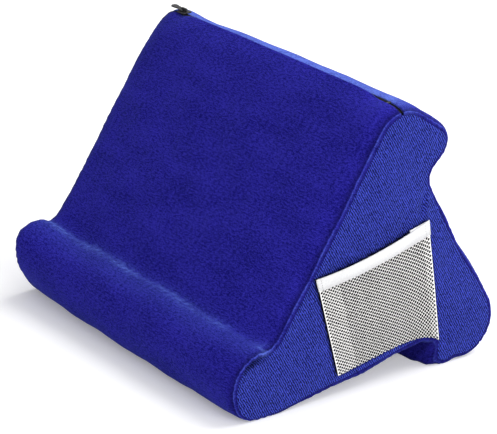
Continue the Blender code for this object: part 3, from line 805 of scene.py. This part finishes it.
def net_layer(ground, first, last, lift, slip=0.0):
    """One layer of the knitted net, from one strand to another, slipped up by part of a mesh.

    A strand's two edges swing together as a rounded zigzag. Neighbours swing against each
    other, so that they meet and are knitted into one in turn on the left and the right.
    """
    rows = int((1 + NET_TILT) * POCKET_TALL / NET_UP) * len(NET_SWING) + 1
    pitch = 1 / NET_STRANDS
    half = NET_STRAND / POCKET_WIDE / 2
    strand = np.arange(first, last)
    sense = np.where(strand % 2, 1.0, -1.0)
    centre = (strand + 0.5) * pitch + (pitch / 2 - half) * np.resize(NET_SWING, rows)[:, None] * sense
    across = np.stack([centre - half, centre + half], axis=-1).reshape(rows, -1)
    if first == 0:
        across[:, 0] = 0.0
    if last == NET_STRANDS:
        across[:, -1] = 1.0
    up = np.linspace(-NET_TILT / 2, 1 + NET_TILT / 2, rows)[:, None] + NET_TILT * (across - 0.5)
    up += slip * NET_UP / POCKET_TALL
    points = pocket_places(across, np.clip(up, 0, 1), ground, lift)
    joined = across[:, 2::2] - across[:, 1:-1:2] < 0.05 * pitch
    keep = np.ones((rows - 1, across.shape[1] - 1), dtype=bool)
    keep[:, 1::2] = joined[:-1] & joined[1:]
    keep &= (up[:-1, :-1] >= 0) & (up[1:, :-1] <= 1) & (up[:-1, 1:] >= 0) & (up[1:, 1:] <= 1)
    faces = grid_faces(rows, across.shape[1]).reshape(rows - 1, across.shape[1] - 1, 4)
    used, faces = np.unique(faces[keep][:, ::-1], return_inverse=True)
    return points.reshape(-1, 3)[used], faces.reshape(-1, 4)


def pocket_net(ground, material):
    """The net, with a second layer folded behind it along both sides."""
    layers = [net_layer(ground, 0, NET_STRANDS, 0.0), net_layer(ground, 0, HEM_FRONT, -HEM_GAP, HEM_SLIP),
              net_layer(ground, NET_STRANDS - HEM_BACK, NET_STRANDS, -HEM_GAP, HEM_SLIP)]
    firsts = np.cumsum([0] + [len(points) for points, _ in layers])
    faces = [faces + first for (_, faces), first in zip(layers, firsts)]
    made = mesh_object("pocket_net_fine", np.concatenate([points for points, _ in layers]), faces, material)
    thicken(made, NET_THICK, 1.0)
    finish_piece(made, "pocket_net", "pocket_net")


def pocket_binding(ground, material):
    """The tape folded over the pocket's mouth: its profile goes up the back and down the front."""
    count = 60
    across = np.linspace(-0.006, 1.006, count)[None]
    share, near_top, crest = (1 + part / POCKET_TALL for part in (-BINDING, -1.2 * MM, 0.5 * MM))
    profile = ((share, -1), (near_top, -1), (1, -0.6), (crest, 0.0), (1, 0.6), (near_top, 1), (share, 1))
    clear = NET_THICK / 2 + 0.1 * MM
    rows = [pocket_places(across, np.full((1, count), up), ground, out * BINDING_HALF + clear)[0]
            for up, out in profile]
    made = mesh_object("pocket_binding_fine", np.array(rows), [grid_faces(len(profile), count)], material)
    thicken(made, 0.45 * MM, 0.0)
    finish_piece(made, "pocket_tape", "pocket_binding")


def tape_tail(ground, material):
    """The end of the tape, folded back and showing above the mouth at the rear."""
    front, back, low, top, drop = TAIL
    across, up = np.meshgrid(np.linspace(front, back, 14), np.linspace(0, 1, 5))
    height = low + (top - drop * (across - front) / (back - front) - low) * up
    points = pocket_places(across, height, ground, -1.3 * MM + 0.5 * MM * up)
    made = mesh_object("tape_tail", points, [grid_faces(*up.shape)[:, ::-1]], material)
    thicken(made, 0.5 * MM, 0.0)
    finish_piece(made, "pocket_tape")


def binding_stitches(ground, material):
    """A short line of stitches through the tape near each of its ends."""
    run, rise = np.array(STITCH) * MM
    lift = NET_THICK / 2 + 0.9 * MM + rise
    paths = []
    for share in (0.034, 0.966):
        for number in range(5):
            up = 1 - (0.8 * MM + number * STITCH_PITCH + run) / POCKET_TALL
            paths.append(pocket_places(np.full((5, 1), share), up[:, None], ground, lift[:, None])[:, 0])
    points, faces = tubes(np.array(paths), 0.16 * MM, 6)
    finish_piece(mesh_object("tape_stitches", points, [faces], material), "pocket_tape")


# Zip


def zip_tape(name, side, node, material):
    """Half of the zip's tape, from end to end, running down over both rounded ends."""
    half, even = HALF - TAPE_SHORT, HALF - TAPE_SHORT - END_MARGIN
    across = np.concatenate([END_ROWS - half, np.linspace(-even, even, 90), half - END_ROWS[::-1]])
    out, sink = np.array(TAPE_PROFILE) * MM
    rows, columns = np.meshgrid(across, out, indexing="ij")
    places = ZIP_AT + side * columns
    points = in_frame(rows, over_belt(places, -end_drop(rows, places) - sink))
    made = mesh_object(name, points, [grid_faces(*rows.shape)[:, ::side]], material)
    thicken(made, 0.5 * MM)
    finish_piece(made, "zip_tape", node)


def zip_coil(name, side, node, material):
    """One row of the zip as a fine coil: an ellipse drawn out along the row."""
    low, high = np.array(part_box(node))
    centre = (low + high) / 2
    size = (high - low) / 2
    turns = int((high[0] - low[0]) / COIL_PITCH)
    angle = np.linspace(0, 2 * math.pi * turns, turns * 9 + 1)
    reach = 0.65 * size[1] - COIL_RADIUS
    middle = centre[1] - side * (size[1] - reach - COIL_RADIUS)
    path = np.stack([low[0] + COIL_PITCH * angle / (2 * math.pi), middle + reach * np.cos(angle),
                     centre[2] + (size[2] - COIL_RADIUS) * np.sin(angle)], axis=-1)
    points, faces = tubes(path[None], COIL_RADIUS, 5)
    finish_piece(mesh_object(name, points, [faces], material), "zip_teeth", node)


# Materials


DEEP_SHADE = (0.001, 0.001, 0.002, 1)
WHITE = (1, 1, 1)
WOVEN = (80.0, 900.0, 3000.0)    # sizes of the unevenness of tape and thread, per metre


def new_material(name):
    """An empty material and its shader."""
    made = bpy.data.materials.new(name)
    made.use_nodes = True
    return made, made.node_tree, made.node_tree.nodes["Principled BSDF"]


def set_inputs(tree, made, sockets):
    """Set a node's inputs by value, or link them from another socket."""
    for key, value in sockets.items():
        if isinstance(value, bpy.types.NodeSocket):
            tree.links.new(value, made.inputs[key])
        else:
            made.inputs[key].default_value = value
    return made


def add(tree, kind, sockets=None, **settings):
    """A node with its settings and its inputs."""
    made = tree.nodes.new(kind)
    for key, value in settings.items():
        setattr(made, key, value)
    return set_inputs(tree, made, sockets or {})


def calc(tree, operation, *values, **settings):
    """The result of one sum on values or sockets."""
    return add(tree, "ShaderNodeMath", dict(enumerate(values)), operation=operation, **settings).outputs[0]


def scaled(tree, value, ends):
    """A value mapped evenly from one range to another and held within it."""
    return add(tree, "ShaderNodeMapRange", {"Value": value, **ends}).outputs[0]


def blend(tree, share, first, second):
    """The colour at a share of the way from one colour to another."""
    mixed = add(tree, "ShaderNodeMix", {"Factor": share, "A": first, "B": second}, data_type="RGBA")
    return mixed.outputs["Result"]


def noise(tree, where, scale, detail, roughness):
    """Soft noise of a given fineness."""
    return add(tree, "ShaderNodeTexNoise", {"Vector": where, "Scale": scale, "Detail": detail,
                                            "Roughness": roughness}).outputs["Fac"]


def relief(tree, shader, height, strength, distance):
    """Let a height pattern turn the surface of a shader."""
    bump = add(tree, "ShaderNodeBump", {"Height": height, "Strength": strength, "Distance": distance})
    tree.links.new(bump.outputs["Normal"], shader.inputs["Normal"])


def object_places(tree):
    """The places of the piece's own coordinates."""
    return add(tree, "ShaderNodeTexCoord").outputs["Object"]


def group(name, vectors, floats, results):
    """A new node group with vector and float inputs and float outputs."""
    made = bpy.data.node_groups.new(name, "ShaderNodeTree")
    for way, kind, labels in (("INPUT", "NodeSocketVector", vectors), ("INPUT", "NodeSocketFloat", floats),
                              ("OUTPUT", "NodeSocketFloat", results)):
        for label in labels:
            made.interface.new_socket(name=label, in_out=way, socket_type=kind)
    return made, made.nodes.new("NodeGroupInput").outputs, made.nodes.new("NodeGroupOutput")


def nap_group():
    """Brushed pile: broad patches where the pile leans, tufts at double weight, and fibres."""
    tree, given, result = group("pile_nap", ("Vector",), ("Patch", "Tuft", "Fibre"), ("Shade", "Height"))
    patch = noise(tree, given["Vector"], given["Patch"], 3.0, 0.6)
    tuft = noise(tree, given["Vector"], given["Tuft"], 4.0, 0.7)
    fibre = noise(tree, given["Vector"], given["Fibre"], 2.0, 0.6)
    mix = calc(tree, "MULTIPLY_ADD", tuft, 2.0, calc(tree, "MULTIPLY", patch, 0.5))
    both = calc(tree, "MULTIPLY_ADD", fibre, 1.5, mix)
    shade = scaled(tree, both, {"From Min": 1.70, "From Max": 2.30})
    height = calc(tree, "ADD", calc(tree, "MULTIPLY", tuft, 0.6), fibre)
    set_inputs(tree, result, {"Shade": shade, "Height": height})
    return tree


def rib_group():
    """Fine parallel ribs along one direction, broken up by short tufts drawn out along them."""
    tree, given, result = group("ribs", ("Vector", "Turn"), ("Count", "Wobble", "Tuft"), ("Height",))
    turned = add(tree, "ShaderNodeVectorRotate", {"Vector": given["Vector"], "Rotation": given["Turn"]},
                 rotation_type="EULER_XYZ").outputs[0]
    wave = add(tree, "ShaderNodeTexWave", {"Vector": turned, "Scale": given["Count"],
                                           "Distortion": given["Wobble"], "Detail": 2.0,
                                           "Detail Scale": 1.5}, bands_direction="Z")
    drawn = add(tree, "ShaderNodeVectorMath", {0: turned, 1: (1.0, 0.55, 1.0)}, operation="MULTIPLY")
    tuft = noise(tree, drawn.outputs[0], given["Tuft"], 2.0, 0.6)
    both = calc(tree, "MULTIPLY_ADD", wave.outputs["Fac"], 0.4, tuft)
    set_inputs(tree, result, {"Height": scaled(tree, both, {"From Min": 0.57, "From Max": 0.87})})
    return tree


def place_group(tree, shared, sockets):
    """A shared group placed in a material."""
    made = tree.nodes.new("ShaderNodeGroup")
    made.node_tree = shared
    return set_inputs(tree, made, sockets).outputs


def pile(tree, nap, where, sizes):
    """Shade and height of the shared pile, with its three sizes of unevenness per metre."""
    made = place_group(tree, nap, {"Vector": where, "Patch": sizes[0], "Tuft": sizes[1], "Fibre": sizes[2]})
    return made["Shade"], made["Height"]


def plain_pattern(nap, sizes):
    """The pile's own unevenness in the piece's coordinates."""
    def build(tree):
        return pile(tree, nap, object_places(tree), sizes)
    return build


def streaked_pattern(nap, sizes, stretch):
    """The pile's unevenness drawn out into short streaks across the width."""
    def build(tree):
        where = add(tree, "ShaderNodeUVMap", uv_map="cloth")
        drawn = add(tree, "ShaderNodeVectorMath", {0: where.outputs["UV"], 1: stretch}, operation="MULTIPLY")
        return pile(tree, nap, drawn.outputs[0], sizes)
    return build


def ribbed_pattern(nap, ribs, sizes, lean, count, wobble, tuft, share):
    """Ribs over the pile's unevenness, in the given share. They lean by an angle in degrees."""
    def build(tree):
        shade, height = plain_pattern(nap, sizes)(tree)
        lines = place_group(tree, ribs, {"Vector": object_places(tree), "Turn": (math.radians(lean), 0.0, 0.0),
                                         "Count": count, "Wobble": wobble, "Tuft": tuft})["Height"]
        mixed = add(tree, "ShaderNodeMix", {"Factor": share, "A": shade, "B": lines})
        return mixed.outputs[0], calc(tree, "ADD", lines, height)
    return build


def cloth_material(name, shades, pattern, bump, sheen, wear_and_highlight=None, shaded=False):
    """Cloth of two shades mixed by a pattern, with a fine relief and a sheen.

    The sheen has a weight, a roughness and a tint. Where the piece's own pale mark is set, the
    cloth takes its pale colour, more so on the light tufts: pressed pile along the seams and
    painted highlights elsewhere. Where "shaded" marks it, deep shade is painted in.
    """
    made, tree, shader = new_material(name)
    shade, height = pattern(tree)
    colour = blend(tree, shade, (*shades[0], 1), (*shades[1], 1))
    weight, rough, tint = sheen
    # Pale colour where marked: pressed pile, and painted highlight.
    if wear_and_highlight is not None:
        place = add(tree, "ShaderNodeAttribute", attribute_name="wear_and_highlight").outputs["Fac"]
        uneven = calc(tree, "MULTIPLY_ADD", shade, 1.1, 0.45)
        colour = blend(tree, calc(tree, "MULTIPLY", uneven, place, use_clamp=True), colour, (*wear_and_highlight, 1))
    if shaded:
        place = add(tree, "ShaderNodeAttribute", attribute_name="shaded").outputs["Fac"]
        colour = blend(tree, place, colour, DEEP_SHADE)
        weight = scaled(tree, place, {"To Min": weight, "To Max": 0.0})
    relief(tree, shader, height, bump, 0.6 * MM)
    set_inputs(tree, shader, {"Base Color": colour, "Roughness": 0.95, "Specular IOR Level": 0.04,
                              "Sheen Weight": weight, "Sheen Roughness": rough, "Sheen Tint": (*tint, 1)})
    return made


def zip_metal_material(nap):
    """Black lacquer worn a little lighter in patches."""
    made, tree, shader = new_material("black_lacquer")
    wear, _ = pile(tree, nap, object_places(tree), (300.0, 900.0, 2500.0))
    colour = blend(tree, wear, (0.002, 0.002, 0.003, 1), (0.008, 0.008, 0.010, 1))
    rough = scaled(tree, wear, {"To Min": 0.35, "To Max": 0.6})
    set_inputs(tree, shader, {"Base Color": colour, "Roughness": rough, "Specular IOR Level": 0.3})
    return made


def foam_material():
    """Open-cell foam."""
    made, tree, shader = new_material("cut_foam")
    cells = add(tree, "ShaderNodeTexVoronoi", {"Vector": object_places(tree), "Scale": 900.0})
    depth = cells.outputs["Distance"]
    relief(tree, shader, depth, 0.5, 0.5 * MM)
    # Painted shade: the colour is darkest toward each cell's middle, where the relief sinks lowest.
    colour = blend(tree, depth, (0.62, 0.54, 0.32, 1), (0.84, 0.77, 0.52, 1))
    set_inputs(tree, shader, {"Base Color": colour, "Roughness": 0.95})
    return made


# Stage


def seen_outright(tree):
    """1 for rays from the camera, from a reflection or through a clear thing, otherwise 0."""
    path = add(tree, "ShaderNodeLightPath").outputs
    both = calc(tree, "ADD", path["Is Camera Ray"], path["Is Glossy Ray"])
    return calc(tree, "ADD", both, path["Is Transmission Ray"], use_clamp=True)


def floor():
    """A pale floor that shows white to the camera and keeps the stand's shadow."""
    points = np.array([[-6.0, -6.0, 0.0], [6.0, -6.0, 0.0], [6.0, 6.0, 0.0], [-6.0, 6.0, 0.0]])
    made, tree, shader = new_material("pale_floor")
    set_inputs(tree, shader, {"Base Color": (0.93, 0.93, 0.94, 1), "Roughness": 1.0, "Specular IOR Level": 0.0})
    strength = calc(tree, "MULTIPLY", seen_outright(tree), 0.22)
    glow = add(tree, "ShaderNodeEmission", {"Color": (1, 1, 1, 1), "Strength": strength})
    both = add(tree, "ShaderNodeAddShader", {0: shader.outputs[0], 1: glow.outputs[0]})
    tree.links.new(both.outputs[0], tree.nodes["Material Output"].inputs["Surface"])
    mesh_object("floor", points, [np.array([[0, 1, 2, 3]])], made, smooth=False)


def area_light(name, place, target, size, power):
    """A square softbox that faces a target."""
    lamp = bpy.data.lights.new(name, "AREA")
    lamp.size = size
    lamp.energy = power
    made = placed(name, lamp)
    made.location = place
    made.rotation_euler = (Vector(target) - Vector(place)).to_track_quat("-Z", "Y").to_euler()


def lights():
    """Soft overhead light, a fill from the pocket side, and a white surround."""
    area_light("overhead", (0.2, 1.3, 1.7), (0.0, 0.0, 0.1), 2.2, 44.0)
    area_light("pocket_side", (2.0, -0.1, 0.8), (0.0, 0.0, 0.08), 1.2, 27.0)
    world = bpy.data.worlds.new("surround")
    world.use_nodes = True
    bpy.context.scene.world = world
    tree = world.node_tree
    strength = scaled(tree, seen_outright(tree), {"To Min": 0.50, "To Max": 1.0})
    set_inputs(tree, tree.nodes["Background"], {"Color": (1, 1, 1, 1), "Strength": strength})


def camera():
    """The photograph's camera."""
    lens = bpy.data.cameras.new("photo_camera")
    lens.sensor_fit = "HORIZONTAL"
    lens.sensor_width = SENSOR
    lens.lens = SENSOR * FOCAL_PIXELS / PHOTO_WIDTH
    lens.clip_end = 50.0
    made = placed("photo_camera", lens)
    made.location = (CAMERA_FROM_LIP[0] + MIDDLE, CAMERA_FROM_LIP[1] + FRONT, CAMERA_FROM_LIP[2])
    made.rotation_euler = (math.pi / 2 - CAMERA_PITCH, 0.0, CAMERA_YAW)
    bpy.context.scene.camera = made


def main():
    """Dress the stand."""
    camera()
    bpy.context.scene.view_settings.view_transform = "Standard"
    floor()
    lights()
    nap, ribs = nap_group(), rib_group()
    # The plush's pale colour stands for pressed pile and for painted highlights; where marked shaded it is
    # painted dark as shade.
    plush = cloth_material(
        "royal_plush", shades=((0.004, 0.003, 0.14), (0.034, 0.028, 0.44)),
        pattern=streaked_pattern(nap, (55.0, 820.0, 1900.0), stretch=(0.35, 1.0, 1.0)), bump=0.9,
        sheen=(0.16, 0.30, (0.30, 0.50, 1.0)), wear_and_highlight=(0.11, 0.17, 0.68), shaded=True)
    knit = cloth_material(
        "royal_knit", shades=((0.001, 0.001, 0.028), (0.054, 0.075, 0.57)),
        pattern=ribbed_pattern(nap, ribs, (60.0, 700.0, 1500.0), lean=61.4, count=199.0, wobble=3.0,
                               tuft=1100.0, share=0.85),
        bump=1.0, sheen=(0.12, 0.30, (0.35, 0.55, 1.0)), shaded=True)
    net = cloth_material(
        "net_yarn", shades=((0.93, 0.92, 0.89), (0.99, 0.98, 0.96)),
        pattern=plain_pattern(nap, (80.0, 900.0, 4000.0)), bump=0.4, sheen=(0.2, 0.5, WHITE))
    tape = cloth_material(
        "white_tape", shades=((0.70, 0.70, 0.71), (0.84, 0.84, 0.85)),
        pattern=ribbed_pattern(nap, ribs, WOVEN, lean=12.0, count=500.0, wobble=0.4, tuft=900.0, share=0.5),
        bump=0.5, sheen=(0.1, 0.5, WHITE))
    zip_cloth = cloth_material(
        "black_tape", shades=((0.004, 0.004, 0.005), (0.014, 0.014, 0.017)),
        pattern=plain_pattern(nap, WOVEN), bump=0.6, sheen=(0.05, 0.5, WHITE))
    thread = cloth_material(
        "grey_thread", shades=((0.22, 0.22, 0.22), (0.40, 0.40, 0.40)),
        pattern=plain_pattern(nap, WOVEN), bump=0.5, sheen=(0.1, 0.5, WHITE))
    lacquer = zip_metal_material(nap)
    for node in ("zip_stop_front", "zip_stop_rear", "zip_end_stop", "zip_slider", "zip_pull"):
        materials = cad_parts[node].data.materials
        materials.clear()
        materials.append(lacquer)

    foam_core(foam_material())
    swell, sim_spots, sim_ends = swollen_body()
    wrap_panel("front_cover", FRONT_SEAM_AT - BELT_LENGTH + SEAM_GAP, ZIP_AT - ZIP_SLIT / 2, "front_panel",
               swell, 0.0, plush)
    wrap_panel("back_cover", ZIP_AT + ZIP_SLIT / 2, HEEL_SEAM_AT - SEAM_GAP, "back_panel", swell, 0.0, plush)
    wrap_panel("base_cover", HEEL_SEAM_AT + SEAM_GAP, FRONT_SEAM_AT - SEAM_GAP, "base_panel", swell, 0.5, plush)
    side_panel("left_cover", -1, "side_panel_left", sim_spots, sim_ends[0], knit)
    ground = pocket_ground(*side_panel("right_cover", 1, "side_panel_right", sim_spots, sim_ends[1], knit))
    pocket_net(ground, net)
    pocket_binding(ground, tape)
    tape_tail(ground, tape)
    binding_stitches(ground, thread)
    rows = (("front", -1), ("rear", 1))
    for row, side in rows:
        zip_tape(f"zip_tape_{row}_fine", side, f"zip_tape_{row}", zip_cloth)
    for row, side in rows:
        zip_coil(f"zip_coil_{row}", side, f"zip_teeth_{row}", lacquer)


main()
